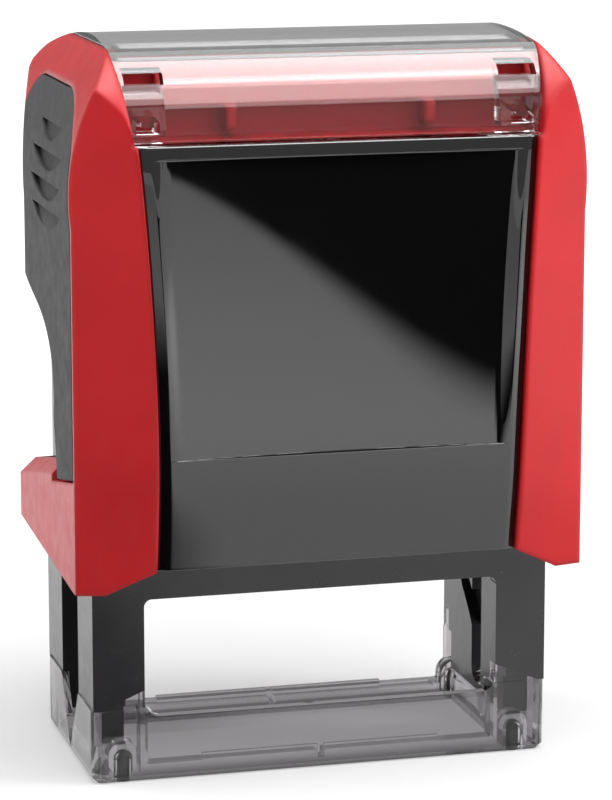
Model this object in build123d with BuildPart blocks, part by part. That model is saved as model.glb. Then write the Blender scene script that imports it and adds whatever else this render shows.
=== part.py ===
from build123d import *
from math import cos, pi, sin
import os

os.makedirs("parts", exist_ok=True)

# All sizes are millimetres. X runs left to right, Y front to back and Z up.
# The origin is the middle of the flat bottom of the clear foot.

# Printing plate and its flip
plate_w, plate_d = 38.0, 14.0
stroke = 21.0
axle_z = 27.6                 # axle height at rest
drop_per_rad = stroke / pi    # the carrier turns half a turn over the stroke
plate_face = 6.5              # axle centre to printing face
axle_r = 1.5
crank_r = 5.0
pin_r = 1.2
gap = 0.3                     # clearance between bodies

# Black frame
frame_w, frame_d = 53.5, 26.0
frame_low_z, leg_z, leg_inner_z = 4.0, 8.5, 10.7
bar_z, shoulder_z = 21.2, 31.0
deck_z0, deck_z1 = 42.4, 46.0
leg_x = 20.8
chamber_y = 11.0
web_x0, web_x1 = 22.7, 24.7
channel_y = 4.7
ledge_z0, ledge_z1 = 32.4, 34.1

# Clear foot
foot_w, foot_d, foot_z = 53.8, 26.4, 8.5
foot_rim_z, rear_rim_z = 7.6, 2.0   # front and rear rim walls between the towers
foot_wall = 1.2
window_x, window_y = 22.6, 9.95
stud_x, stud_y, stud_r = 23.2, 11.5, 1.1
stud_dome_z = 2.6             # where the round top of a stud begins
boss_r, boss_dome_z = 1.75, 3.0

# Cap
cap_x, cap_y = 29.4, 17.3     # outer side faces and the upright front edges
back_x, back_y = 27.4, 17.0   # second upright edge of the rounded back corners
side_back_y = 10.6            # where the flat side face ends at the back
cap_low_z, cap_top_z = 23.3, 83.8
top_y, top_edge_z, top_rear_z = 13.6, 82.8, 81.6   # the top arches, a little lower at the back
panel_z0, panel_z1 = 26.0, 73.2
back_z0, back_z1 = 33.5, 63.5
cavity_x, cavity_y = 27.1, 15.2
lid_low_x, lid_top_x = 22.9, 24.3   # half width of the clear index window, at its foot and on top
lid_t = 1.6
block_x = 19.0                # inner side of the window's clip blocks
catch_x, catch_w = 21.2, 4.4  # place and width of the window's two catches
skin = 1.2                    # thickness of the soft grips


def export(piece, name):
    piece.part.label = name
    export_step(piece.part, f"parts/{name}.step")


def mirrored(points):
    """An outline in the right half, closed by its mirror image in the left half."""
    return points + [(-x, z) for x, z in reversed(points)]


# ---------------------------------------------------------------- frame

# front views of the clear towers, whose tops meet the slanted ends of the legs
front_tower = [(26.0, 8.0), (26.0, leg_z), (leg_x, leg_inner_z), (leg_x, 8.0)]
rear_tower = [(24.7, 8.0), (24.0, 10.6), (web_x0, 11.4), (web_x0, 8.0)]
# the rear legs are narrower below a shoulder under the bar
rear_waist = [(leg_x - 0.1, 8.0), (web_x0, 8.0), (web_x0, 16.2), (leg_x - 0.1, 17.2)]

with BuildPart() as base_frame:
    with BuildSketch(Plane.XY.offset(frame_low_z)):
        Rectangle(2 * 26.0, 2 * 9.9)
    extrude(amount=leg_z - frame_low_z)
    with BuildSketch(Plane.XY.offset(leg_z)):
        Rectangle(frame_w, frame_d)
    extrude(amount=shoulder_z - leg_z)
    with BuildSketch(Plane.XY.offset(shoulder_z)):
        Rectangle(frame_w - 1.5, frame_d)
    extrude(amount=deck_z1 - shoulder_z)
    # chamber in which the die turns, open at the bottom
    with BuildSketch(Plane.XY):
        Rectangle(2 * web_x0, 2 * chamber_y)
    extrude(amount=deck_z0, mode=Mode.SUBTRACT)
    # windows between the legs, front and back, and the slanted ends of the legs
    with BuildSketch(Plane.XZ):
        with Locations((0, bar_z / 2)):
            RectangleRounded(2 * leg_x, bar_z, 0.9)
        with Locations((0, 4)):
            Rectangle(2 * leg_x, 8)
    extrude(amount=frame_d, both=True, mode=Mode.SUBTRACT)
    for side in (-1, 1):
        for end, cut in ((1, front_tower), (-1, rear_tower), (-1, rear_waist)):
            with BuildSketch(Plane.XZ.offset(end * chamber_y)):
                Polygon(*[(side * x, z) for x, z in cut], align=None)
            extrude(amount=end * 3, mode=Mode.SUBTRACT)
        # ledge that carries the ink tray
        with BuildSketch(Plane.XY.offset(ledge_z0)):
            with Locations((side * (leg_x + web_x0) / 2, 0)):
                Rectangle(web_x0 - leg_x, 2 * chamber_y)
        extrude(amount=ledge_z1 - ledge_z0)
        # outer channel in which the drive arm runs
        with BuildSketch(Plane.XY):
            with Locations((side * (web_x1 + frame_w) / 2, 0)):
                Rectangle(frame_w - web_x1, 2 * channel_y)
        extrude(amount=deck_z1 + 1, mode=Mode.SUBTRACT)
        # curved track of the crank pin in the inner face of the web
        with BuildSketch(Plane.YZ.offset(side * web_x0)):
            with BuildLine():
                turns = [k * pi / 12 for k in range(13)]
                path = [(crank_r * sin(t), axle_z - drop_per_rad * t - crank_r * cos(t)) for t in turns]
                Spline(*path)
            trace(line_width=2 * (pin_r + gap))
            with Locations(path[0], path[-1]):
                Circle(pin_r + gap)
        extrude(amount=side * 1.3, mode=Mode.SUBTRACT)
    # upright slots of the axle
    with BuildSketch(Plane.YZ):
        with Locations((0, axle_z - stroke / 2)):
            SlotCenterToCenter(stroke, 2 * (axle_r + gap), rotation=90)
    extrude(amount=frame_w / 2, both=True, mode=Mode.SUBTRACT)
    # mouth of the ink tray in the rear wall
    with BuildSketch(Plane.XZ.offset(-chamber_y)):
        with Locations((0, (ledge_z1 + deck_z0) / 2)):
            Rectangle(2 * web_x0, deck_z0 - ledge_z1)
    extrude(amount=-3, mode=Mode.SUBTRACT)
    # boss that centres the spring
    with BuildSketch(Plane.XY.offset(deck_z1)):
        Circle(3.8)
    extrude(amount=3)
export(base_frame, "base_frame")

# ---------------------------------------------------------------- clear foot and studs

foot_corners = [(side * stud_x, end * stud_y) for side in (-1, 1) for end in (-1, 1)]

with BuildPart() as clear_foot:
    with BuildSketch(Plane.XY):
        RectangleRounded(foot_w, foot_d, 1.2)
    extrude(amount=foot_z)
    chamfer(clear_foot.faces().sort_by(Axis.Z)[0].edges(), 0.7)
    # raised towers that meet the slanted ends of the legs
    for side in (-1, 1):
        for end, tower in ((1, front_tower), (-1, rear_tower)):
            with BuildSketch(Plane.XZ.offset(end * chamber_y)):
                Polygon(*[(side * x, z) for x, z in tower], align=None)
            extrude(amount=end * (frame_d / 2 - chamber_y))
    # window over the imprint and the room above the inner rim
    with BuildSketch(Plane.XY):
        Rectangle(2 * window_x, 2 * window_y)
    extrude(amount=15, mode=Mode.SUBTRACT)
    with BuildSketch(Plane.XY.offset(3.9)):
        Rectangle(2 * 26.1, 2 * window_y)
    extrude(amount=15, mode=Mode.SUBTRACT)
    with BuildSketch(Plane.XY.offset(1.8)):
        Rectangle(2 * (leg_x - 0.4), foot_d - 2 * foot_wall)
    extrude(amount=5.9, mode=Mode.SUBTRACT)
    # rims between the towers are lower than the side walls, most of all at the back
    for end, rim_z, rim_x in ((1, foot_rim_z, leg_x - 0.2), (-1, rear_rim_z, web_x0)):
        with BuildSketch(Plane.XZ):
            with Locations((0, rim_z + 5)):
                RectangleRounded(2 * rim_x, 10, 1.5)
        extrude(amount=end * foot_d, mode=Mode.SUBTRACT)
    # hollow of each tower, in which the arched boss of its stud stands
    for side in (-1, 1):
        for end in (-1, 1):
            with BuildSketch(Plane.XY.offset(0.9)):
                with Locations((side * (stud_x + 0.25), end * (window_y + foot_d / 2 - foot_wall) / 2)):
                    Rectangle(4.4, foot_d / 2 - foot_wall - window_y)
            extrude(amount=10, mode=Mode.SUBTRACT)
            with BuildSketch(Plane.XZ.offset(-end * window_y)):
                with Locations((side * stud_x, boss_dome_z)):
                    Circle(boss_r)
                with Locations((side * stud_x, (0.5 + boss_dome_z) / 2)):
                    Rectangle(2 * boss_r, boss_dome_z - 0.5)
            extrude(amount=-end * (foot_d / 2 - 0.9 - window_y))
        # notch that lets the drive arm down
        with BuildSketch(Plane.YZ.offset(side * 24.6)):
            Polygon((-4.9, foot_z + 1), (-4.9, foot_z), (0, 0.7), (4.9, foot_z), (4.9, foot_z + 1), align=None)
        extrude(amount=side * 4, mode=Mode.SUBTRACT)
        # low strip along the foot of each rim wall
        with BuildSketch(Plane.XY.offset(1.7)):
            with Locations((0, side * (foot_d / 2 - foot_wall - 0.2))):
                Rectangle(28.0, 0.6)
        extrude(amount=0.9)
    # centre marks of the inner rim
    with BuildSketch(Plane.XZ):
        with Locations((0, 1.8)):
            Rectangle(0.8, 1.6)
    extrude(amount=foot_d / 2 - foot_wall, both=True, mode=Mode.SUBTRACT)
    # blind holes of the studs
    with Locations(*[(x, y, 0) for x, y in foot_corners]):
        Cylinder(stud_r, stud_dome_z, align=(Align.CENTER, Align.CENTER, Align.MIN), mode=Mode.SUBTRACT)
    with Locations(*[(x, y, stud_dome_z) for x, y in foot_corners]):
        Sphere(stud_r, mode=Mode.SUBTRACT)
export(clear_foot, "clear_foot")

with BuildPart() as rubber_studs:
    with Locations(*[(x, y, 0) for x, y in foot_corners]):
        Cylinder(stud_r, stud_dome_z, align=(Align.CENTER, Align.CENTER, Align.MIN))
    with Locations(*[(x, y, stud_dome_z) for x, y in foot_corners]):
        Sphere(stud_r)
export(rubber_studs, "rubber_studs")

# ---------------------------------------------------------------- return spring

spring_r, wire_r = 5.0, 0.5
bridge_z = 77.5               # underside of the yoke's bridge, where the spring ends

with BuildPart() as return_spring:
    with BuildLine(Plane.XY.offset(deck_z1 + wire_r + 0.05)) as coil:
        Helix(pitch=(bridge_z - deck_z1 - 2 * wire_r - 0.1) / 8, height=bridge_z - deck_z1 - 2 * wire_r - 0.1,
              radius=spring_r)
    with BuildSketch(coil.line ^ 0):
        Circle(wire_r)
    sweep(is_frenet=True)
export(return_spring, "return_spring")

# ---------------------------------------------------------------- ink cartridge

tray_x, tray_z0, tray_z1 = 22.3, 34.4, 41.8
tray_front_y, tray_rear_y, handle_y = -10.5, 13.2, 15.5
pad_x, pad_y = 20.4, 8.6

with BuildPart() as ink_tray:
    with BuildSketch(Plane.XY.offset(tray_z0)):
        with Locations((0, (tray_front_y + tray_rear_y) / 2)):
            Rectangle(2 * tray_x, tray_rear_y - tray_front_y)
    extrude(amount=tray_z1 - tray_z0)
    # pocket of the pad, open downwards
    with BuildSketch(Plane.XY.offset(tray_z0)):
        RectangleRounded(2 * pad_x, 2 * pad_y, 1.0)
    extrude(amount=5.8, mode=Mode.SUBTRACT)
    # finger lip with a grip groove
    with BuildSketch(Plane.XY.offset(tray_z0)):
        with Locations((0, (tray_rear_y + handle_y) / 2)):
            Rectangle(2 * tray_x - 0.8, handle_y - tray_rear_y)
    extrude(amount=tray_z1 - tray_z0)
    with BuildSketch(Plane.XZ.offset(-handle_y)):
        for z in (36.4, 38.1, 39.8):
            with Locations((0, z)):
                SlotOverall(16, 0.8)
    extrude(amount=0.6, mode=Mode.SUBTRACT)
export(ink_tray, "ink_tray")

with BuildPart() as ink_pad:
    with BuildSketch(Plane.XY.offset(tray_z0)):
        RectangleRounded(2 * pad_x, 2 * pad_y, 1.0)
    extrude(amount=5.8)
export(ink_pad, "ink_pad")

# ---------------------------------------------------------------- cap

# height, half width of the front opening and depth of the front, from the bottom to the top
cheeks = [(18.0, 20.6, 19.2), (26.0, 20.8, 20.0), (36.0, 21.0, 21.5), (48.0, 21.2, 22.0)]
cheeks += [(60.0, 21.8, 21.8), (71.0, 22.6, 21.2)]
brow = [(20.2, 76.0), (18.0, 79.9), (top_y, top_edge_z)]
rear_brow = [(20.0, 75.6), (17.8, 79.0), (top_y, top_rear_z)]
reach = 40.0                  # longer than the cap's half width or depth


def top_arc(depth):
    """Front, middle and back points of the arched top's side view, depth below it."""
    return (-top_y, top_edge_z - depth), (0, cap_top_z - depth), (top_y, top_rear_z - depth)


def side_view(shift=0.0):
    """Side outline of the cap, with its front and back curves moved in by shift."""
    rising = [(y, z) for z, x, y in cheeks]
    with BuildSketch(Plane.YZ.offset(-reach)) as view:
        with BuildLine():
            Spline(*[(-y + shift, z) for y, z in rising + brow])
            ThreePointArc((-top_y + shift, top_edge_z), (0, cap_top_z), (top_y - shift, top_rear_z))
            Spline(*[(y - shift, z) for y, z in reversed(rising + rear_brow)])
            Line((cheeks[0][2] - shift, cheeks[0][0]), (-cheeks[0][2] + shift, cheeks[0][0]))
        make_face()
    return view.sketch


def front_opening(inset, z0):
    """Front view of the opening between the cheeks, its edges moved in by inset."""
    with BuildSketch(Plane.XZ) as view:
        with BuildLine():
            for side in (-1, 1):
                ThreePointArc((side * (20.8 - inset), z0), (side * (21.2 - inset), 50),
                              (side * (22.7 - inset), panel_z1 - inset))
            Line((-20.8 + inset, z0), (20.8 - inset, z0))
            Line((-22.7 + inset, panel_z1 - inset), (22.7 - inset, panel_z1 - inset))
        make_face()
    return view.sketch


# side view of the finger scoop in the back edge of each cheek, from the back down to the waist
scoop = [(10.8, 54.8), (2.9, 52.4), (-1.9, 50.2), (-4.5, 47.5), (-5.6, 44.4), (-5.4, 41.0)]


def grip_field(inset, waisted):
    """Side view of a soft grip's field, its edges moved in by inset."""
    front, back, top = -16.7 + inset, 13.4 - inset, 78.6 - inset
    with BuildSketch(Plane.YZ) as view:
        with BuildLine():
            ThreePointArc((front, 72), (-13.4, 76.2), (-6, top))
            Line((-6, top), (7, top))
            ThreePointArc((7, top), (11.6, 76.6), (back, 73))
            if waisted:
                edge = [(y - inset, z + inset) for y, z in scoop]
                Polyline((back, 73), (back, edge[0][1]), edge[0])
                Spline(*edge)
                Polyline(edge[-1], (-7.4, 34.2 + inset), (front, 35.9 + inset), (front, 72))
            else:
                Polyline((back, 73), (back, 30.2), (front, 35.9), (front, 72))
        make_face()
    return view.sketch


# half of the front view outline, from the underside to the top
half_view = [(0, panel_z0), (leg_x, panel_z0), (26.2, cap_low_z), (cap_x, cap_low_z), (cap_x, 64)]

with BuildPart() as envelope:
    for z, x, y in cheeks + [(88.0, 23.6, 20.3)]:
        # front and back corners run on past the side faces, which trim them below
        front = cap_y - (y - cap_y) / (cap_x - x) * 2
        back = side_back_y - (back_y - side_back_y) / (cap_x - back_x) * 2
        right = [(x, -y), (cap_x + 2, -front), (cap_x + 2, back), (back_x, back_y), (x, y)]
        with BuildSketch(Plane.XY.offset(z)):
            Polygon(*mirrored(right), align=None)
    loft()
    with BuildSketch(Plane.XZ):
        with BuildLine():
            for side in (-1, 1):
                Polyline(*[(side * x, z) for x, z in half_view])
                ThreePointArc((side * cap_x, 64), (side * 28.8, 74), (side * 27.2, 78.7))
                Polyline((side * 27.2, 78.7), (side * 23.8, 84.2), (0, 84.2))
        make_face()
    extrude(amount=reach, both=True, mode=Mode.INTERSECT)
    extrude(side_view(), amount=2 * reach, mode=Mode.INTERSECT)

with BuildPart() as cavity:
    with BuildSketch(Plane.XZ):
        Polygon(*mirrored([(cavity_x, 10), (cavity_x, 67.5), (25.3, 72.5), (21.5, 79.3)]), align=None)
    extrude(amount=cavity_y, both=True)
    with BuildSketch(Plane.YZ):
        Polygon(*mirrored([(cavity_y, 10), (cavity_y, 67.5), (12.8, 72.5), (9.5, 79.3)]), align=None)
    extrude(amount=reach, both=True, mode=Mode.INTERSECT)

# everything outside the floors of the two grip pockets
with BuildPart() as skin_zone:
    for side in (-1, 1):
        with BuildSketch(Plane.XZ):
            with BuildLine():
                Line((side * (cap_x - skin), 20), (side * (cap_x - skin), 64))
                ThreePointArc((side * (cap_x - skin), 64), (side * (28.8 - skin), 73.6),
                              (side * (27.2 - skin), 78.0))
                Polyline((side * (27.2 - skin), 78.0), (side * 24.2, 80.2), (side * reach, 80.2),
                         (side * reach, 20), (side * (cap_x - skin), 20))
            make_face()
        extrude(amount=reach, both=True)

with BuildPart() as grip_pockets:
    add(skin_zone.part)
    extrude(grip_field(0, False), amount=reach, both=True, mode=Mode.INTERSECT)

lid_front = [(-top_y, top_edge_z), (-17.6, 79.0), (-19.3, 73.4)]
lid_back = [(-top_y, top_edge_z - lid_t), (-16.4, 78.2), (-18.0, 73.4)]


def lid_field(margin):
    """Front view of the clear window, which is widest on top, grown by margin."""
    low_x, top_x = lid_low_x + margin, lid_top_x + margin
    with BuildSketch(Plane.XZ) as view:
        Polygon(*mirrored([(low_x, 73.0), (top_x, 82.5), (top_x, 90)]), align=None)
    return view.sketch


def card_slab(depth, thickness, y, x):
    """A curved sheet under the arched top, given by its depth below the top and its half sizes."""
    outer, inner = top_arc(depth), top_arc(depth + thickness)
    with BuildPart() as slab:
        with BuildSketch(Plane.YZ):
            with BuildLine():
                ThreePointArc(*outer)
                ThreePointArc(*inner)
                Line(outer[0], inner[0])
                Line(outer[-1], inner[-1])
            make_face()
        extrude(amount=x, both=True)
        with BuildSketch(Plane.XY.offset(70)):
            Rectangle(2 * x, 2 * y)
        extrude(amount=20, mode=Mode.INTERSECT)
    return slab.part

# seat of the index window over the top, and the recess behind its curved front
seat_front, seat_mid, seat_rear = top_arc(lid_t + 0.05)

with BuildPart() as lid_seat:
    with BuildSketch(Plane.YZ):
        with BuildLine():
            ThreePointArc(seat_rear, seat_mid, seat_front)
            Polyline(seat_front, (-14.6, 79.4), (-15.2, 76.7), (-13.6, 76.7), (-13.6, 73.6),
                     (-18.1, 73.2), (-30, 73.2), (-30, 90), (top_y, 90), seat_rear)
        make_face()
    extrude(amount=reach, both=True)
    extrude(lid_field(0.1), amount=reach, both=True, mode=Mode.INTERSECT)

# flared foot of the cap behind the scoops, its upper edge sloping down to the back
with BuildPart() as flare:
    with BuildSketch(Plane.XY.offset(cap_low_z)):
        Polygon(*mirrored([(cap_x, -4.3), (cap_x, 15.8), (22.6, 20.8)]), align=None)
    extrude(amount=16)
    with BuildSketch(Plane.YZ):
        Polygon((-5, 36.2), (16, 32.0), (24, 30.4), (24, 50), (-5, 50), align=None)
    extrude(amount=reach, both=True, mode=Mode.SUBTRACT)
    rim = flare.faces().filter_by(lambda f: f.normal_at().Z > 0.8).edges()
    chamfer(rim.filter_by(lambda e: abs(e.center().X) > 23 and e.center().Y > -4), 1.7)
    add(cavity.part, mode=Mode.SUBTRACT)

with BuildPart() as cap_shell:
    add(envelope.part)
    add(cavity.part, mode=Mode.SUBTRACT)
    # front opening, and the back opening for the ink cartridge
    extrude(front_opening(0, panel_z0), amount=reach, mode=Mode.SUBTRACT)
    with BuildSketch(Plane.XZ):
        with Locations((0, 22)):
            Rectangle(2 * leg_x, 8.1)
    extrude(amount=reach, mode=Mode.SUBTRACT)
    with BuildSketch(Plane.XZ):
        with Locations((0, (back_z0 + panel_z1) / 2)):
            Rectangle(2 * 22.6, panel_z1 - back_z0)
    extrude(amount=-reach, mode=Mode.SUBTRACT)
    # finger scoops in the back edges of the cheeks, open down to the flared foot of the cap
    for side in (-1, 1):
        with BuildSketch(Plane.YZ.offset(side * 22.6)):
            with BuildLine():
                Spline(*scoop)
                Polyline(scoop[-1], (-4.3, 36.3), (-4.3, 20), (reach, 20), (reach, 54.8), scoop[0])
            make_face()
        extrude(amount=side * reach, mode=Mode.SUBTRACT)
    add(grip_pockets.part, mode=Mode.SUBTRACT)
    add(flare.part)
    # underside, a little higher at the back
    with BuildSketch(Plane.YZ):
        Polygon((-24, 15), (-24, 22.9), (-17, 23.2), (24, 25.6), (24, 15), align=None)
    extrude(amount=reach, both=True, mode=Mode.SUBTRACT)
    add(lid_seat.part, mode=Mode.SUBTRACT)
    # recesses behind the catches of the window
    with BuildSketch(Plane.XZ.offset(12.9)):
        for side in (-1, 1):
            with Locations((side * catch_x, 79.7)):
                Rectangle(catch_w - 0.6, 2.0)
    extrude(amount=7, mode=Mode.SUBTRACT)
    with BuildSketch(Plane.XZ.offset(13.6)):
        for x in (-11.3, 11.3):
            with Locations((x, 75.5)):
                Rectangle(1.2, 2.4)
    extrude(amount=2.6)
    # hole of the lock button in the rear bar
    with BuildSketch(Plane.XZ):
        with Locations((0, 29.4)):
            RectangleRounded(10.6, 4.4, 0.8)
    extrude(amount=-reach, mode=Mode.SUBTRACT)
export(cap_shell, "cap_shell")

# shallow dish across the face of the front panel, above a sloping sill
band, band_depth = 1.3, 0.5
dish_r, dish_lean = 260.0, 1.25

with BuildPart() as dish:
    extrude(front_opening(band + 0.1, 37), amount=reach)
    with BuildSketch(Plane.YZ):
        Polygon((-23, 37.0), (-19.5, 40.5), (-19.5, 75), (-23, 75), align=None)
    extrude(amount=reach, both=True, mode=Mode.INTERSECT)
    with BuildSketch(Plane.XY.rotated((-dish_lean, 0, 0))):
        with Locations((0, -21.55 - dish_r)):
            Circle(dish_r)
    extrude(amount=80, mode=Mode.INTERSECT)

with BuildPart() as front_panel:
    extrude(front_opening(0.05, panel_z0 + 0.05), amount=reach)
    add(envelope.part, mode=Mode.INTERSECT)
    extrude(side_view(0.25), amount=2 * reach, mode=Mode.INTERSECT)
    extrude(side_view(2.4), amount=2 * reach, mode=Mode.SUBTRACT)
    # bevelled band along the sides and the top
    front_face = front_panel.faces().sort_by(Axis.Y)[0]
    chamfer(front_face.edges().sort_by(Axis.Z)[1:], band, band_depth, reference=front_face)
    add(dish.part, mode=Mode.SUBTRACT)
export(front_panel, "front_panel")

with BuildPart() as rear_panel:
    with BuildSketch(Plane.XZ):
        with Locations((0, (back_z1 + panel_z1) / 2)):
            Rectangle(2 * 22.55, panel_z1 - back_z1 - 0.1)
    extrude(amount=-reach)
    extrude(side_view(0.25), amount=2 * reach, mode=Mode.INTERSECT)
    extrude(side_view(2.4), amount=2 * reach, mode=Mode.SUBTRACT)
    add(envelope.part, mode=Mode.INTERSECT)
export(rear_panel, "rear_panel")

# finger grooves of the grips: middle, top edge, length and half width of the cap there
grooves = [(-4.0, 74.1, 11.5, 28.8), (-3.9, 70.8, 16.6, 29.12), (-3.6, 67.5, 16.7, 29.32)]
grooves += [(-3.1, 64.3, 16.2, cap_x)]
groove_depth, groove_sag = 0.6, 1.9

for side, name in ((-1, "left_grip"), (1, "right_grip")):
    with BuildPart() as grip:
        add(envelope.part)
        add(skin_zone.part, mode=Mode.INTERSECT)
        extrude(grip_field(0.25, True), amount=side * reach, mode=Mode.INTERSECT)
        # each groove is a crescent, deep along its top edge and shallow below
        for y, z, length, x in grooves:
            floor = Plane(origin=(side * (x - groove_depth), y, z), x_dir=(0, side, 0),
                          z_dir=(side * groove_sag, 0, groove_depth))
            with BuildSketch(floor):
                with BuildLine():
                    ThreePointArc((-length / 2, 0), (0, -groove_sag - 0.1), (length / 2, 0))
                    Line((length / 2, 0), (-length / 2, 0))
                make_face()
            extrude(amount=3, mode=Mode.SUBTRACT)
    export(grip, name)

# clear index window and the paper card under it
card_pocket = card_slab(1.15, 0.5, 12.6, 23.2)

with BuildPart() as index_window:
    with BuildSketch(Plane.YZ):
        with BuildLine():
            ThreePointArc(*top_arc(0))
            ThreePointArc(*lid_front)
            Line(lid_front[-1], lid_back[-1])
            ThreePointArc(*lid_back)
            ThreePointArc(*top_arc(lid_t))
            Line(top_arc(0)[-1], top_arc(lid_t)[-1])
        make_face()
    extrude(amount=lid_top_x, both=True)
    # end blocks behind the curved front
    for side in (-1, 1):
        with BuildSketch(Plane.YZ.offset(side * block_x)):
            Polygon((-14.6, 79.3), (-15.4, 76.6), (-15.4, 74.0), (-18.2, 74.0), (-17.4, 77.2), align=None)
        extrude(amount=side * (lid_top_x - block_x))
        # latch slot, and the window of the latch with its nose
        with BuildSketch(Plane.XZ.offset(14)):
            with Locations((side * catch_x, 80.1)):
                Rectangle(catch_w, 1.2)
            with Locations((side * catch_x, 75.0)):
                Rectangle(2.6, 1.3)
            with Locations((side * catch_x, 75.4)):
                Rectangle(1.4, 0.6, mode=Mode.SUBTRACT)
        extrude(amount=6, mode=Mode.SUBTRACT)
    # pocket of the card
    add(card_pocket, mode=Mode.SUBTRACT)
    extrude(lid_field(0), amount=reach, both=True, mode=Mode.INTERSECT)
    add(envelope.part, mode=Mode.INTERSECT)
export(index_window, "index_window")

card = card_slab(1.2, 0.3, 12.5, 23.1)

with BuildPart() as index_card:
    add(card)
export(index_card, "index_card")

# drive yoke: an arch inside the cap whose arms carry the axle
arm_x0, arm_x1, arm_y = 25.0, 26.6, 4.4
nose_r = 2.6

with BuildPart() as drive_yoke:
    with BuildSketch(Plane.XZ):
        Polygon(*mirrored([(arm_x1, 20), (arm_x1, 67.2), (24.6, 72.4), (20.9, 79.3)]), align=None)
        Polygon(*mirrored([(arm_x0, 20), (arm_x0, 66.8), (23.1, 71.8), (20.0, bridge_z)]), align=None,
                mode=Mode.SUBTRACT)
    extrude(amount=arm_y, both=True)
    # arm ends taper to a round nose about the axle
    with BuildSketch(Plane.YZ):
        with Locations((0, axle_z)):
            Circle(nose_r)
        with Locations((0, (axle_z + 2.6 + 80) / 2)):
            Rectangle(2 * arm_y, 80 - axle_z - 2.6)
        make_hull()
    extrude(amount=reach, both=True, mode=Mode.INTERSECT)
    with BuildSketch(Plane.YZ):
        with Locations((0, axle_z)):
            Circle(axle_r + 0.04)
    extrude(amount=reach, both=True, mode=Mode.SUBTRACT)
    with BuildSketch(Plane.XY.offset(bridge_z)):
        Circle(2.5)
    extrude(amount=5, mode=Mode.SUBTRACT)
export(drive_yoke, "drive_yoke")

with BuildPart() as spring_post:
    with BuildSketch(Plane.XY.offset(71)):
        Circle(3.5)
    extrude(amount=bridge_z - 71)
    with BuildSketch(Plane.XY.offset(bridge_z)):
        Circle(2.45)
    extrude(amount=79.25 - bridge_z)
export(spring_post, "spring_post")

# ---------------------------------------------------------------- die carrier

carrier_x = 20.2
cushion_y0, cushion_y1 = 3.7, 5.0

with BuildPart() as carrier_axle:
    with BuildSketch(Plane.YZ):
        with Locations((0, axle_z)):
            Circle(axle_r)
    extrude(amount=26.5, both=True)
export(carrier_axle, "carrier_axle")

with BuildPart() as die_holder:
    with BuildSketch(Plane.YZ):
        with Locations((0, axle_z)):
            Circle(3.3)
        with Locations((0, axle_z + 2.6)):
            Rectangle(plate_d - 0.6, 2 * (cushion_y0 - 2.6))
    extrude(amount=carrier_x, both=True)
    with BuildSketch(Plane.YZ):
        with Locations((0, axle_z)):
            Circle(axle_r + 0.01)
    extrude(amount=reach, both=True, mode=Mode.SUBTRACT)
    # the hub is left out between its four webs
    with BuildSketch(Plane.XY.offset(axle_z + 1.5)):
        for x in (-14.2, 0, 14.2):
            with Locations((x, 0)):
                Rectangle(9.5, plate_d)
    extrude(amount=-7.5, mode=Mode.SUBTRACT)
export(die_holder, "die_holder")

with BuildPart() as cushion_layer:
    with BuildSketch(Plane.XY.offset(axle_z + cushion_y0)):
        Rectangle(plate_w, plate_d - 0.4)
    extrude(amount=cushion_y1 - cushion_y0)
export(cushion_layer, "cushion_layer")

# rubber plate with a plain relief: a frame, three bars and a dot
with BuildPart() as text_plate:
    with BuildSketch(Plane.XY.offset(axle_z + cushion_y1)):
        Rectangle(plate_w, plate_d - 0.2)
    extrude(amount=0.8)
    with BuildSketch(Plane.XY.offset(axle_z + cushion_y1 + 0.8)):
        RectangleRounded(36.4, 12.4, 1.0)
        RectangleRounded(35.2, 11.2, 0.8, mode=Mode.SUBTRACT)
        for x, y, length in ((4.0, 3.2, 24), (4.0, 0, 20), (4.0, -3.2, 24)):
            with Locations((x, y)):
                SlotOverall(length, 1.3)
        with Locations((-13.0, 0)):
            Circle(3.0)
    extrude(amount=plate_face - cushion_y1 - 0.8)
export(text_plate, "text_plate")

for side, name in ((-1, "left_crank"), (1, "right_crank")):
    with BuildPart() as crank:
        with BuildSketch(Plane.YZ.offset(side * carrier_x)):
            with Locations((0, axle_z)):
                Circle(3.3)
            with Locations((0, axle_z - crank_r)):
                Circle(1.7)
            make_hull()
            with Locations((0, axle_z)):
                Circle(axle_r + 0.01, mode=Mode.SUBTRACT)
        extrude(amount=side * 2.1)
        with BuildSketch(Plane.YZ.offset(side * (carrier_x + 2.1))):
            with Locations((0, axle_z - crank_r)):
                Circle(pin_r)
        extrude(amount=side * 1.4)
    export(crank, name)

# ---------------------------------------------------------------- lock button

with BuildPart() as lock_button:
    with BuildSketch(Plane.XZ.offset(-14.3)):
        with Locations((0, 29.4)):
            RectangleRounded(12.6, 5.8, 0.8)
    extrude(amount=-0.8)
    with BuildSketch(Plane.XZ.offset(-15.1)):
        with Locations((0, 29.4)):
            RectangleRounded(10.0, 3.8, 0.6)
    extrude(amount=-6.3)
    with BuildSketch(Plane.XZ.offset(-21.4)):
        for x in (-3, -1, 1, 3):
            with Locations((x, 29.4)):
                Rectangle(0.6, 2.4)
    extrude(amount=0.4, mode=Mode.SUBTRACT)
export(lock_button, "lock_button")
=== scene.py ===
from math import cos, hypot, radians, sin, sqrt, tan, tau

import bmesh
import bpy
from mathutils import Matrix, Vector, noise


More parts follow.
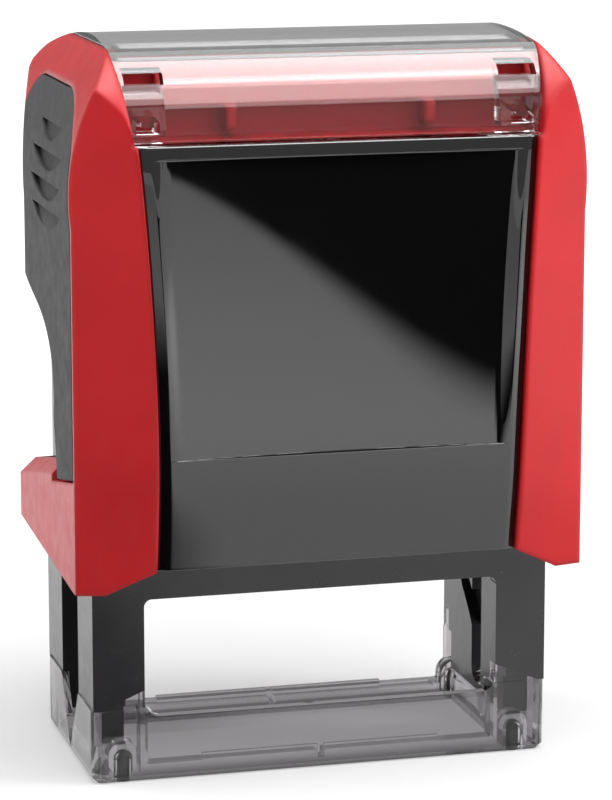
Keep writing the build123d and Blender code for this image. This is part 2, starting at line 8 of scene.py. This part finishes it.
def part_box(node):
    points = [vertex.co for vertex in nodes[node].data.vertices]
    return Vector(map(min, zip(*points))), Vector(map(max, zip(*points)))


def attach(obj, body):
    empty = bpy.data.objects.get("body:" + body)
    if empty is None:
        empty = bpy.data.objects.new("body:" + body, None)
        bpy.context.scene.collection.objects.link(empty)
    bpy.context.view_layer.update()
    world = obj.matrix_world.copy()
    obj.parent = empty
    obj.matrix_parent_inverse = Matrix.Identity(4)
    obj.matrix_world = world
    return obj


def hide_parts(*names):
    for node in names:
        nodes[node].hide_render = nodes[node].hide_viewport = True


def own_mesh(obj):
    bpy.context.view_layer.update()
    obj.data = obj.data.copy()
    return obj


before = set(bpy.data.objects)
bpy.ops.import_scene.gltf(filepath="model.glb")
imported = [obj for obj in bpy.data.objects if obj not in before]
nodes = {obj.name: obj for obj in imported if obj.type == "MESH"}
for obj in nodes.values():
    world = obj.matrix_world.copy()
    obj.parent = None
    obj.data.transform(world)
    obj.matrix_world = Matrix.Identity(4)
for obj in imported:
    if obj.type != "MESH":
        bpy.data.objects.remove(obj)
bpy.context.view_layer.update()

scene = bpy.context.scene
MM = 0.001
NOISE_LOW, NOISE_HIGH = 0.3, 0.7   # the range that most values of a noise lie in


# ---------------------------------------------------------------- node helpers


def new_material(name, color, roughness, **sockets):
    """A Principled material; keyword names are socket names with _ for a space."""
    mat = bpy.data.materials.new(name)
    mat.use_nodes = True
    shader = mat.node_tree.nodes["Principled BSDF"]
    shader.inputs["Base Color"].default_value = (*color, 1)
    shader.inputs["Roughness"].default_value = roughness
    for key, value in sockets.items():
        shader.inputs[key.replace("_", " ")].default_value = value
    return mat


def add_node(mat, kind, **settings):
    node = mat.node_tree.nodes.new(kind)
    for key, value in settings.items():
        setattr(node, key, value)
    return node


def link(mat, source, target):
    mat.node_tree.links.new(source, target)


def shader_of(mat):
    return mat.node_tree.nodes["Principled BSDF"]


def grain(mat, per_mm, detail=3.0, stretch=(1, 1, 1)):
    """Noise in the object's own space, with per_mm features in a millimetre."""
    coords = add_node(mat, "ShaderNodeTexCoord")
    mapping = add_node(mat, "ShaderNodeMapping")
    mapping.inputs["Scale"].default_value = stretch
    tex = add_node(mat, "ShaderNodeTexNoise")
    tex.inputs["Scale"].default_value = per_mm / MM
    tex.inputs["Detail"].default_value = detail
    link(mat, coords.outputs["Object"], mapping.inputs["Vector"])
    link(mat, mapping.outputs["Vector"], tex.inputs["Vector"])
    return tex.outputs["Fac"]


def spread(mat, fac, low, high):
    """A noise, mapped to the range low to high."""
    node = add_node(mat, "ShaderNodeMapRange")
    node.inputs["From Min"].default_value = NOISE_LOW
    node.inputs["From Max"].default_value = NOISE_HIGH
    node.inputs["To Min"].default_value = low
    node.inputs["To Max"].default_value = high
    link(mat, fac, node.inputs["Value"])
    return node.outputs["Result"]


def vary_color(mat, fac, dark, light):
    """Base colour that wanders between two colours; returns that colour's socket."""
    mix = add_node(mat, "ShaderNodeMix", data_type="RGBA")
    mix.inputs["A"].default_value = (*dark, 1)
    mix.inputs["B"].default_value = (*light, 1)
    link(mat, spread(mat, fac, 0, 1), mix.inputs["Factor"])
    link(mat, mix.outputs["Result"], shader_of(mat).inputs["Base Color"])
    return mix.outputs["Result"]


def vary_roughness(mat, fac, low, high):
    link(mat, spread(mat, fac, low, high), shader_of(mat).inputs["Roughness"])


def bump(mat, fac, depth_mm, strength=1.0, edge_mm=0.0):
    """Surface relief, over edges that look rounded by edge_mm."""
    node = add_node(mat, "ShaderNodeBump")
    if edge_mm:
        rounded = add_node(mat, "ShaderNodeBevel", samples=6)
        rounded.inputs["Radius"].default_value = edge_mm * MM
        link(mat, rounded.outputs["Normal"], node.inputs["Normal"])
    node.inputs["Strength"].default_value = strength
    node.inputs["Distance"].default_value = depth_mm * MM
    link(mat, fac, node.inputs["Height"])
    link(mat, node.outputs["Normal"], shader_of(mat).inputs["Normal"])


def ramp(mat, value, low, high, out_low=0.0, out_high=1.0):
    """A value mapped smoothly from low..high to out_low..out_high, and clamped."""
    node = add_node(mat, "ShaderNodeMapRange", interpolation_type="SMOOTHSTEP")
    node.inputs["From Min"].default_value = low
    node.inputs["From Max"].default_value = high
    node.inputs["To Min"].default_value = out_low
    node.inputs["To Max"].default_value = out_high
    link(mat, value, node.inputs["Value"])
    return node.outputs["Result"]


def combine(mat, operation, *values):
    """MULTIPLY or MAXIMUM of several values."""
    total = values[0]
    for value in values[1:]:
        node = add_node(mat, "ShaderNodeMath", operation=operation)
        link(mat, total, node.inputs[0])
        link(mat, value, node.inputs[1])
        total = node.outputs["Value"]
    return total


def along(mat, towards):
    """How far a point lies towards a direction, in metres; a direction of two numbers is level."""
    coords = add_node(mat, "ShaderNodeTexCoord")
    dot = add_node(mat, "ShaderNodeVectorMath", operation="DOT_PRODUCT")
    dot.inputs[1].default_value = (*towards, 0)[:3]
    link(mat, coords.outputs["Object"], dot.inputs[0])
    return dot.outputs["Value"]


def distance_from(mat, x, y):
    """Distance of a point from the place x, y on the floor, in metres."""
    coords = add_node(mat, "ShaderNodeTexCoord")
    gap = add_node(mat, "ShaderNodeVectorMath", operation="DISTANCE")
    gap.inputs[1].default_value = (x, y, 0)
    link(mat, coords.outputs["Object"], gap.inputs[0])
    return gap.outputs["Value"]


def moulded(name, dark, light, roughness, grain_mm=0.35, depth_mm=0.012, edge_mm=0.0,
            **sockets):
    """Injection moulded plastic: fine surface grain and slight variation of colour and gloss."""
    mat = new_material(name, light, roughness, **sockets)
    vary_color(mat, grain(mat, 0.12, 2), dark, light)
    vary_roughness(mat, grain(mat, 0.5, 4), roughness * 0.88, roughness * 1.15)
    bump(mat, grain(mat, 1 / grain_mm, 2), depth_mm, edge_mm=edge_mm)
    return mat


# ---------------------------------------------------------------- materials

ACRYLIC_IOR = 1.49


def red_plastic():
    return moulded("red_plastic", (0.36, 0.004, 0.0065), (0.40, 0.005, 0.008), 0.34,
                   grain_mm=0.25, depth_mm=0.004, edge_mm=1.0, Specular_IOR_Level=0.27)


def black_plastic():
    return moulded("black_plastic", (0.014, 0.013, 0.0145), (0.021, 0.019, 0.021), 0.24,
                   grain_mm=3.0, depth_mm=0.003)


def piano_black():
    mat = new_material("piano_black", (0.0025, 0.0024, 0.0026), 0.025,
                       Coat_Weight=0.8, Coat_Roughness=0.015)
    vary_roughness(mat, grain(mat, 0.25, 5, (1, 1, 0.35)), 0.018, 0.034)
    return mat


def soft_touch():
    dark, light = (0.027, 0.026, 0.0275), (0.036, 0.034, 0.037)
    mat = new_material("soft_touch", light, 0.62, Specular_IOR_Level=0.22)
    vary_color(mat, grain(mat, 0.2, 3), dark, light)
    vary_roughness(mat, grain(mat, 0.6, 4), 0.56, 0.68)
    bump(mat, grain(mat, 4.5, 3), 0.018, edge_mm=0.6)
    return mat


def smoky_clear():
    # painted shade: the foot's lower edge gets a darker base colour, in place of the dark internal
    # reflections at its chamfer
    painted_shade_edge, tint = (0.16, 0.15, 0.16), (0.48, 0.465, 0.48)   # the foot's lower edge is darker
    mat = new_material("smoky_clear", tint, 0.03, Transmission_Weight=1.0, IOR=ACRYLIC_IOR)
    vary_roughness(mat, grain(mat, 0.3, 3), 0.02, 0.06)
    bump(mat, grain(mat, 0.18, 2), 0.02, 0.5)
    mix = add_node(mat, "ShaderNodeMix", data_type="RGBA")
    mix.inputs["A"].default_value = (*painted_shade_edge, 1)
    mix.inputs["B"].default_value = (*tint, 1)
    # painted shade: the base colour darkens towards the bottom, within 1.5 mm of the foot's lower edge
    link(mat, ramp(mat, along(mat, (0, 0, 1)), 0.2 * MM, 1.5 * MM), mix.inputs["Factor"])
    link(mat, mix.outputs["Result"], shader_of(mat).inputs["Base Color"])
    return mat


def clear_plastic():
    mat = new_material("clear_plastic", (0.97, 0.97, 0.98), 0.01,
                       Transmission_Weight=1.0, IOR=ACRYLIC_IOR)
    vary_roughness(mat, grain(mat, 0.3, 3), 0.004, 0.02)
    return mat


def rubber(name, color, roughness=0.75):
    mat = new_material(name, color, roughness)
    dark, light = [0.82 * c for c in color], [1.12 * c for c in color]
    vary_color(mat, grain(mat, 0.6, 4), dark, light)
    bump(mat, grain(mat, 5, 3), 0.015)
    return mat


def steel():
    mat = new_material("steel", (0.60, 0.60, 0.61), 0.28, Metallic=1.0)
    vary_roughness(mat, grain(mat, 1.5, 4, (0.1, 1, 1)), 0.22, 0.34)
    bump(mat, grain(mat, 6, 2, (0.05, 1, 1)), 0.003)
    return mat


def card_paper():
    """White card with a dark margin along its front and both ends."""
    dark, light = (0.78, 0.78, 0.76), (0.86, 0.86, 0.845)
    mat = new_material("card_paper", light, 0.85)
    bump(mat, grain(mat, 6, 4), 0.01)
    front, end = (10.6 * MM, 10.9 * MM), (22.2 * MM, 22.6 * MM)
    margin = combine(mat, "MAXIMUM", ramp(mat, along(mat, (0, -1)), *front),
                     ramp(mat, along(mat, (1, 0)), *end), ramp(mat, along(mat, (-1, 0)), *end))
    paper = vary_color(mat, grain(mat, 2.5, 5), dark, light)
    mix = add_node(mat, "ShaderNodeMix", data_type="RGBA")
    mix.inputs["B"].default_value = (0.05, 0.05, 0.052, 1)
    link(mat, margin, mix.inputs["Factor"])
    link(mat, paper, mix.inputs["A"])
    link(mat, mix.outputs["Result"], shader_of(mat).inputs["Base Color"])
    return mat


def felt():
    dark, light = (0.018, 0.022, 0.085), (0.045, 0.05, 0.16)
    mat = new_material("inked_felt", light, 0.95, Sheen_Weight=0.6, Sheen_Roughness=0.5)
    vary_color(mat, grain(mat, 1.2, 5), dark, light)
    bump(mat, grain(mat, 5, 5, (1, 0.4, 1)), 0.08)
    return mat


def foam():
    dark, light = (0.11, 0.11, 0.12), (0.17, 0.17, 0.18)
    mat = new_material("foam", light, 0.9, Sheen_Weight=0.2)
    pores = add_node(mat, "ShaderNodeTexVoronoi")
    pores.inputs["Scale"].default_value = 3.2 / MM
    coords = add_node(mat, "ShaderNodeTexCoord")
    link(mat, coords.outputs["Object"], pores.inputs["Vector"])
    vary_color(mat, grain(mat, 1.5, 4), dark, light)
    bump(mat, pores.outputs["Distance"], 0.08)
    return mat


def dress(node_names, mat):
    """Gives CAD nodes one material."""
    for name in node_names:
        mesh = nodes[name].data
        mesh.materials.clear()
        mesh.materials.append(mat)


polished = piano_black()
metal = steel()
dress(["base_frame", "ink_tray", "die_holder", "left_crank", "right_crank"], black_plastic())
dress(["cap_shell"], red_plastic())
dress(["rear_panel"], polished)
dress(["left_grip", "right_grip"], soft_touch())
dress(["clear_foot"], smoky_clear())
dress(["index_window"], clear_plastic())
dress(["index_card"], card_paper())
dress(["rubber_studs"], rubber("stud_rubber", (0.02, 0.02, 0.021)))
dress(["text_plate"], rubber("plate_rubber", (0.22, 0.03, 0.025), 0.6))
dress(["drive_yoke", "spring_post"],
      moulded("grey_plastic", (0.09, 0.09, 0.095), (0.12, 0.12, 0.125), 0.4))
dress(["lock_button"], moulded("button_plastic", (0.22, 0.22, 0.225), (0.27, 0.27, 0.275), 0.38))
dress(["carrier_axle", "return_spring"], metal)


# ---------------------------------------------------------------- edges of the moulded parts

WELD_MM = 0.002    # corners closer than this become one
SHARP_EDGE = 35    # degrees, above which an edge is rounded


def soften(name, width_mm):
    """Rounds the sharp edges of a CAD node with modifiers; its mesh stays as it is."""
    part = nodes[name]
    weld = part.modifiers.new("weld", "WELD")
    weld.merge_threshold = WELD_MM * MM
    bevel = part.modifiers.new("edge", "BEVEL")
    bevel.width = width_mm * MM
    bevel.segments = 3
    bevel.limit_method = "ANGLE"
    bevel.angle_limit = radians(SHARP_EDGE)
    bevel.use_clamp_overlap = True
    bevel.harden_normals = True


for edge_mm, part_names in ((0.25, ("ink_tray", "rear_panel", "drive_yoke", "carrier_axle")),
                            (0.20, ("rubber_studs", "die_holder", "spring_post")),
                            (0.18, ("base_frame",)),
                            (0.15, ("clear_foot", "lock_button", "left_crank", "right_crank")),
                            (0.08, ("text_plate",))):
    for part_name in part_names:
        soften(part_name, edge_mm)


# ---------------------------------------------------------------- pieces made here


def mesh_piece(name, bm, mat, body):
    """A smooth shaded piece made from a bmesh, which it uses up."""
    mesh = bpy.data.meshes.new(name)
    bm.normal_update()
    bm.to_mesh(mesh)
    bm.free()
    mesh.materials.append(mat)
    piece = bpy.data.objects.new(name, mesh)
    scene.collection.objects.link(piece)
    for face in mesh.polygons:
        face.use_smooth = True
    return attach(piece, body) or piece


def tube(path, radius, sides=12):
    """A closed tube mesh along a list of points, which never runs straight up."""
    bm = bmesh.new()
    rings = []
    for i, point in enumerate(path):
        heading = (path[min(i + 1, len(path) - 1)] - path[max(i - 1, 0)]).normalized()
        across = heading.cross(Vector((0, 0, 1))).normalized()
        up = across.cross(heading)
        rings.append([bm.verts.new(point + radius * (cos(a) * across + sin(a) * up))
                      for a in (tau * k / sides for k in range(sides))])
    for low, high in zip(rings, rings[1:]):
        for k in range(sides):
            bm.faces.new((low[k], low[(k + 1) % sides], high[(k + 1) % sides], high[k]))
    bm.faces.new(list(reversed(rings[0])))
    bm.faces.new(rings[-1])
    return bm


def build_spring():
    """Compression spring with flat closed ends, as long as the CAD spring's box."""
    low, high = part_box("return_spring")
    wire = 0.5 * MM
    radius = (high.x - low.x) / 2 - wire
    turns, closed, points_per_turn = 8, 1, 40   # closed turns lie flat, one at each end
    bottom, top = low.z + wire, high.z - wire
    path = []
    for k in range(turns * points_per_turn + 1):
        t = k / points_per_turn
        rise = min(max((t - closed) / (turns - 2 * closed), 0), 1)
        flat = min(t, closed) + max(t - (turns - closed), 0)
        height = bottom + wire * flat + (top - bottom - 2 * wire) * rise
        path.append(Vector((radius * cos(tau * t), radius * sin(tau * t), height)))
    spring = mesh_piece("spring_coil", tube(path, wire), metal, "base")
    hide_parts("return_spring")
    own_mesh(spring)


def pillow(name, node, mat, body, crown, inset):
    """A soft block in a CAD node's box: its faces crown outwards and its edges are rounded."""
    squareness, wobble, wobble_scale = 8, 0.02, 9
    low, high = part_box(node)
    low, high = low + Vector(inset), high - Vector(inset)
    size, centre = high - low, (high + low) / 2
    bm = bmesh.new()
    bmesh.ops.create_cube(bm, size=1)
    bmesh.ops.subdivide_edges(bm, edges=bm.edges[:], cuts=15, use_grid_fill=True)
    for v in bm.verts:
        u = v.co * 2
        round_off = sum(abs(c) ** squareness for c in u) ** (1 / squareness)
        shape = v.co / max(round_off, 1e-6) * max(abs(u.x), abs(u.y), abs(u.z))
        rise = crown * (1 - (2 * shape.x) ** 4) * (1 - (2 * shape.y) ** 4)
        uneven = wobble * noise.noise(v.co * wobble_scale)
        point = Vector((shape.x * size.x, shape.y * size.y, shape.z * (size.z - 2 * crown)))
        point.z += (rise if shape.z > 0 else -rise) * min(1, abs(2 * shape.z)) + uneven * crown
        v.co = centre + point
    piece = mesh_piece(name, bm, mat, body)
    smooth = piece.modifiers.new("smooth", "SUBSURF")
    smooth.levels = smooth.render_levels = 1
    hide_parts(node)


# Front panel, in millimetres: heights and depths of the cap's front, and the panel's own shape
FRONT = [(18.0, 19.2), (26.0, 20.0), (36.0, 21.5), (48.0, 22.0), (60.0, 21.8), (71.0, 21.2),
         (76.0, 20.2)]
RECESS, THICKNESS = 0.25, 2.15            # the panel lies a little behind the cap's front
PANEL_LOW, PANEL_HIGH = 26.05, 73.15
HALF_LOW, NARROWING, FLARE = 20.75, 0.1, 2.0
EDGE_RADIUS = 0.15
BAND, SIDE_BEVEL, TOP_BEVEL = 1.3, 0.5, 0.12   # width of the bevelled band, and its two depths
DISH_RADIUS, DISH_Y, DISH_LEAN = 260.0, -21.55, 1.25
DISH_SIDE_FADE, DISH_TOP_FADE = 1.6, 0.2
SILL_Z, SILL_Y, SILL_RISE = 38.7, -21.7, 0.15   # SILL_RISE is the sill's height for 1 mm of depth
BEVEL_BLEND, SILL_BLEND, DISH_BLEND = 0.08, 0.05, 0.04   # how softly two shapes meet


def front_depth(z):
    """Depth of the cap's front at height z, by smooth cubic pieces through the FRONT points."""
    k = max(i for i in range(1, len(FRONT) - 2) if FRONT[i][0] <= z or i == 1)
    (za, ya), (zb, yb), (zc, yc), (zd, yd) = FRONT[k - 1:k + 3]
    span = zc - zb
    slope_b, slope_c = (yc - ya) / (zc - za) * span, (yd - yb) / (zd - zb) * span
    t = (z - zb) / span
    return ((2 * t**3 - 3 * t**2 + 1) * yb + (t**3 - 2 * t**2 + t) * slope_b
            + (3 * t**2 - 2 * t**3) * yc + (t**3 - t**2) * slope_c)


def panel_half(z):
    """Half width of the panel, which widens upwards."""
    t = (z - PANEL_LOW) / (PANEL_HIGH - PANEL_LOW)
    return HALF_LOW - NARROWING * t + FLARE * t * t


def smooth_step(t):
    """0 to 1 with a level start and end."""
    t = min(max(t, 0), 1)
    return t * t * (3 - 2 * t)


def soft_max(a, b, blend):
    """The larger of a and b, rounded off where they are nearly the same."""
    return (a + b + hypot(a - b, blend)) / 2


def panel_depth(x, z):
    """y of the panel's face: rounded edges, a bevelled band and a shallow dish above its sill."""
    side, top = panel_half(z) - abs(x), PANEL_HIGH - z
    face = RECESS - front_depth(z)
    bevel = max(SIDE_BEVEL * soft_max(1 - side / BAND, 0, BEVEL_BLEND),
                TOP_BEVEL * soft_max(1 - top / BAND, 0, BEVEL_BLEND))
    inset = max(EDGE_RADIUS - min(side, top, z - PANEL_LOW), 0)
    rounding = EDGE_RADIUS - sqrt(max(EDGE_RADIUS**2 - inset**2, 0))
    dish = DISH_Y + z * tan(radians(DISH_LEAN)) - DISH_RADIUS + sqrt(DISH_RADIUS**2 - x * x)
    cut = -soft_max(-dish, (SILL_Z - z) / SILL_RISE - SILL_Y, SILL_BLEND)
    inside = smooth_step((side - BAND) / DISH_SIDE_FADE) * smooth_step((top - BAND) / DISH_TOP_FADE)
    return face + bevel + rounding + inside * soft_max(cut - face, 0, DISH_BLEND)


def steps(low, high, count):
    """count even steps from low, without high."""
    return [low + (high - low) * k / count for k in range(count)]


def build_panel():
    """Polished front panel of the cap: a grid that is finer at its edges and across its sill."""
    edge = [0, 0.02, 0.05, 0.09, 0.15, 0.4]
    rim = edge + [0.8, 1.1, 1.2, 1.3, 1.4, 1.6, 1.8, 2.0, 2.2, 2.4, 2.6, 2.8, 3.0]
    top_rim = edge + [0.8, 1.1, 1.2, 1.26, 1.3, 1.33, 1.36, 1.4, 1.44, 1.48, 1.52, 1.6]
    low_rows, sill_rows, high_rows, top_rows = 26.9, 38.4, 39.1, PANEL_HIGH - 1.9
    margin = 3.4
    rows = [PANEL_LOW + d for d in edge] + steps(low_rows, sill_rows, 22)
    rows += steps(sill_rows, high_rows, 35) + steps(high_rows, top_rows, 62)
    rows += [PANEL_HIGH - d for d in reversed(top_rim)]
    bm = bmesh.new()
    grid, backs = [], []
    for z in rows:
        half = panel_half(z)
        xs = [d - half for d in rim] + steps(margin - half, half - margin, 54) + [half - margin]
        xs += [half - d for d in reversed(rim)]
        grid.append([bm.verts.new((x * MM, panel_depth(x, z) * MM, z * MM)) for x in xs])
        back = (RECESS - front_depth(z) + THICKNESS) * MM
        backs.append([bm.verts.new((x * MM, back, z * MM)) for x in xs])
    last = len(grid[0]) - 1
    for a, b, c, d in zip(grid, grid[1:], backs, backs[1:]):
        for k in range(last):
            bm.faces.new((a[k], a[k + 1], b[k + 1], b[k]))
        bm.faces.new((a[0], b[0], d[0], c[0]))
        bm.faces.new((b[last], a[last], c[last], d[last]))
        bm.faces.new((c[0], d[0], d[last], c[last]))
    for front, back, flip in ((grid[0], backs[0], False), (grid[-1], backs[-1], True)):
        for k in range(last):
            ring = [front[k + 1], front[k], back[k], back[k + 1]]
            bm.faces.new(ring[::-1] if flip else ring)
    loose = [v for v in bm.verts if not v.link_faces]
    bmesh.ops.delete(bm, geom=loose, context="VERTS")
    panel = mesh_piece("panel_face", bm, polished, "cap")
    panel.data.set_sharp_from_angle(angle=radians(50))
    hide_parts("front_panel")


build_spring()
build_panel()
pillow("felt_pad", "ink_pad", felt(), "cartridge",
       crown=0.25 * MM, inset=(0.1 * MM, 0.1 * MM, 0.03 * MM))
pillow("foam_layer", "cushion_layer", foam(), "die",
       crown=0.0, inset=(0.05 * MM, 0.05 * MM, 0.0))


# ---------------------------------------------------------------- studio, in metres

FLAG_CENTRE, FLAG_RADIUS = (1.864, 0.210), 1.866   # curved edge of the flag, as the panel reflects it
FLAG_HEIGHT, FLAG_BLUR = 0.0004, 0.004             # over the floor, and half its soft edge
SKY_HEIGHT = 0.6
LAMP_AIM = Vector((0, 0, 0.045))


def rectangle(low_x, low_y, high_x, high_y):
    return [(low_x, low_y), (high_x, low_y), (high_x, high_y), (low_x, high_y)]


def flat_card(name, outline, height, mat):
    """A flat card level with the floor, given by its outline."""
    bm = bmesh.new()
    bm.faces.new([bm.verts.new((x, y, height)) for x, y in outline])
    mesh = bpy.data.meshes.new(name)
    bm.to_mesh(mesh)
    bm.free()
    mesh.materials.append(mat)
    card = bpy.data.objects.new(name, mesh)
    scene.collection.objects.link(card)
    return card


def glossy_only(card):
    """Hides a card from everything but reflections."""
    for ray in ("camera", "diffuse", "transmission", "shadow"):
        setattr(card, "visible_" + ray, False)


def direction(azimuth, elevation):
    """Unit vector from the object towards a place; azimuth 0 is the front and 90 the right."""
    a, e = radians(azimuth), radians(elevation)
    return Vector((sin(a) * cos(e), -cos(a) * cos(e), sin(e)))


def studio_floor():
    """White floor that glows more away from the object, so that it has no horizon."""
    white = new_material("floor_white", (0.36, 0.36, 0.362), 0.95, Emission_Color=(1, 1, 1, 1))
    glow = ramp(white, distance_from(white, 0, 0), 0.05, 0.30, 0.37, 0.95)
    link(white, glow, shader_of(white).inputs["Emission Strength"])
    flat_card("floor", rectangle(-6, -6, 6, 6), 0, white)


def reflection_flag():
    """Dark flag on the floor in front of the object, in two areas: far out and near on the left."""
    mat = new_material("flag_black", (0, 0, 0), 1.0, Specular_IOR_Level=0.0)
    past_curve = ramp(mat, distance_from(mat, *FLAG_CENTRE),
                      FLAG_RADIUS - FLAG_BLUR, FLAG_RADIUS + FLAG_BLUR)
    far = combine(mat, "MULTIPLY", past_curve,
                  ramp(mat, along(mat, (1, 0)), -0.08, -0.02),
                  ramp(mat, along(mat, (0, -1)), 0.14, 0.24))
    left = combine(mat, "MULTIPLY",
                   ramp(mat, along(mat, (-1, 0.04)), -0.003, 0.012),
                   ramp(mat, distance_from(mat, 0, 0), 0.22, 0.45, 1.0, 0.3))
    link(mat, combine(mat, "MAXIMUM", far, left), shader_of(mat).inputs["Alpha"])
    glossy_only(flat_card("flag", rectangle(-1, -1.5, 1, -0.03), FLAG_HEIGHT, mat))


def sky_card():
    """Bright card high above the object."""
    mat = new_material("sky_white", (0, 0, 0), 1.0, Emission_Color=(1, 1, 1, 1), Emission_Strength=6.0)
    glossy_only(flat_card("sky", rectangle(-0.35, -0.28, 0.35, 0.36), SKY_HEIGHT, mat))


def softbox(name, azimuth, elevation, distance, size, power):
    """An area light that faces the object."""
    data = bpy.data.lights.new(name, "AREA")
    data.shape = "RECTANGLE"
    data.size, data.size_y = size
    data.energy = power
    lamp = bpy.data.objects.new(name, data)
    lamp.location = LAMP_AIM + direction(azimuth, elevation) * distance
    lamp.rotation_euler = (LAMP_AIM - lamp.location).to_track_quat("-Z", "Y").to_euler()
    scene.collection.objects.link(lamp)


def world_light(strength):
    world = bpy.data.worlds.new("studio")
    world.use_nodes = True
    background = world.node_tree.nodes["Background"]
    background.inputs["Color"].default_value = (1, 1, 1, 1)
    background.inputs["Strength"].default_value = strength
    scene.world = world


def photo_camera():
    """The camera, a little to the left of the object's front and above it."""
    azimuth, elevation, distance = -15.135, 11.263, 0.39693
    aim = Vector((0.001564, 0, 0.040443))
    data = bpy.data.cameras.new("camera")
    data.sensor_width, data.lens = 36, 153.34
    data.clip_start = 0.01
    camera = bpy.data.objects.new("camera", data)
    camera.location = aim + direction(azimuth, elevation) * distance
    camera.rotation_euler = (aim - camera.location).to_track_quat("-Z", "Y").to_euler()
    scene.collection.objects.link(camera)
    scene.camera = camera


studio_floor()
reflection_flag()
sky_card()
world_light(0.40)
softbox("left_back", -115, 22, 0.55, (0.30, 0.40), 1.6)
softbox("right_front", 70, 30, 0.60, (0.25, 0.35), 3.4)
softbox("top", 10, 80, 0.50, (0.45, 0.30), 2.0)
softbox("top_front", 10, 56, 0.50, (0.40, 0.26), 1.4)
photo_camera()
scene.view_settings.view_transform = "Standard"
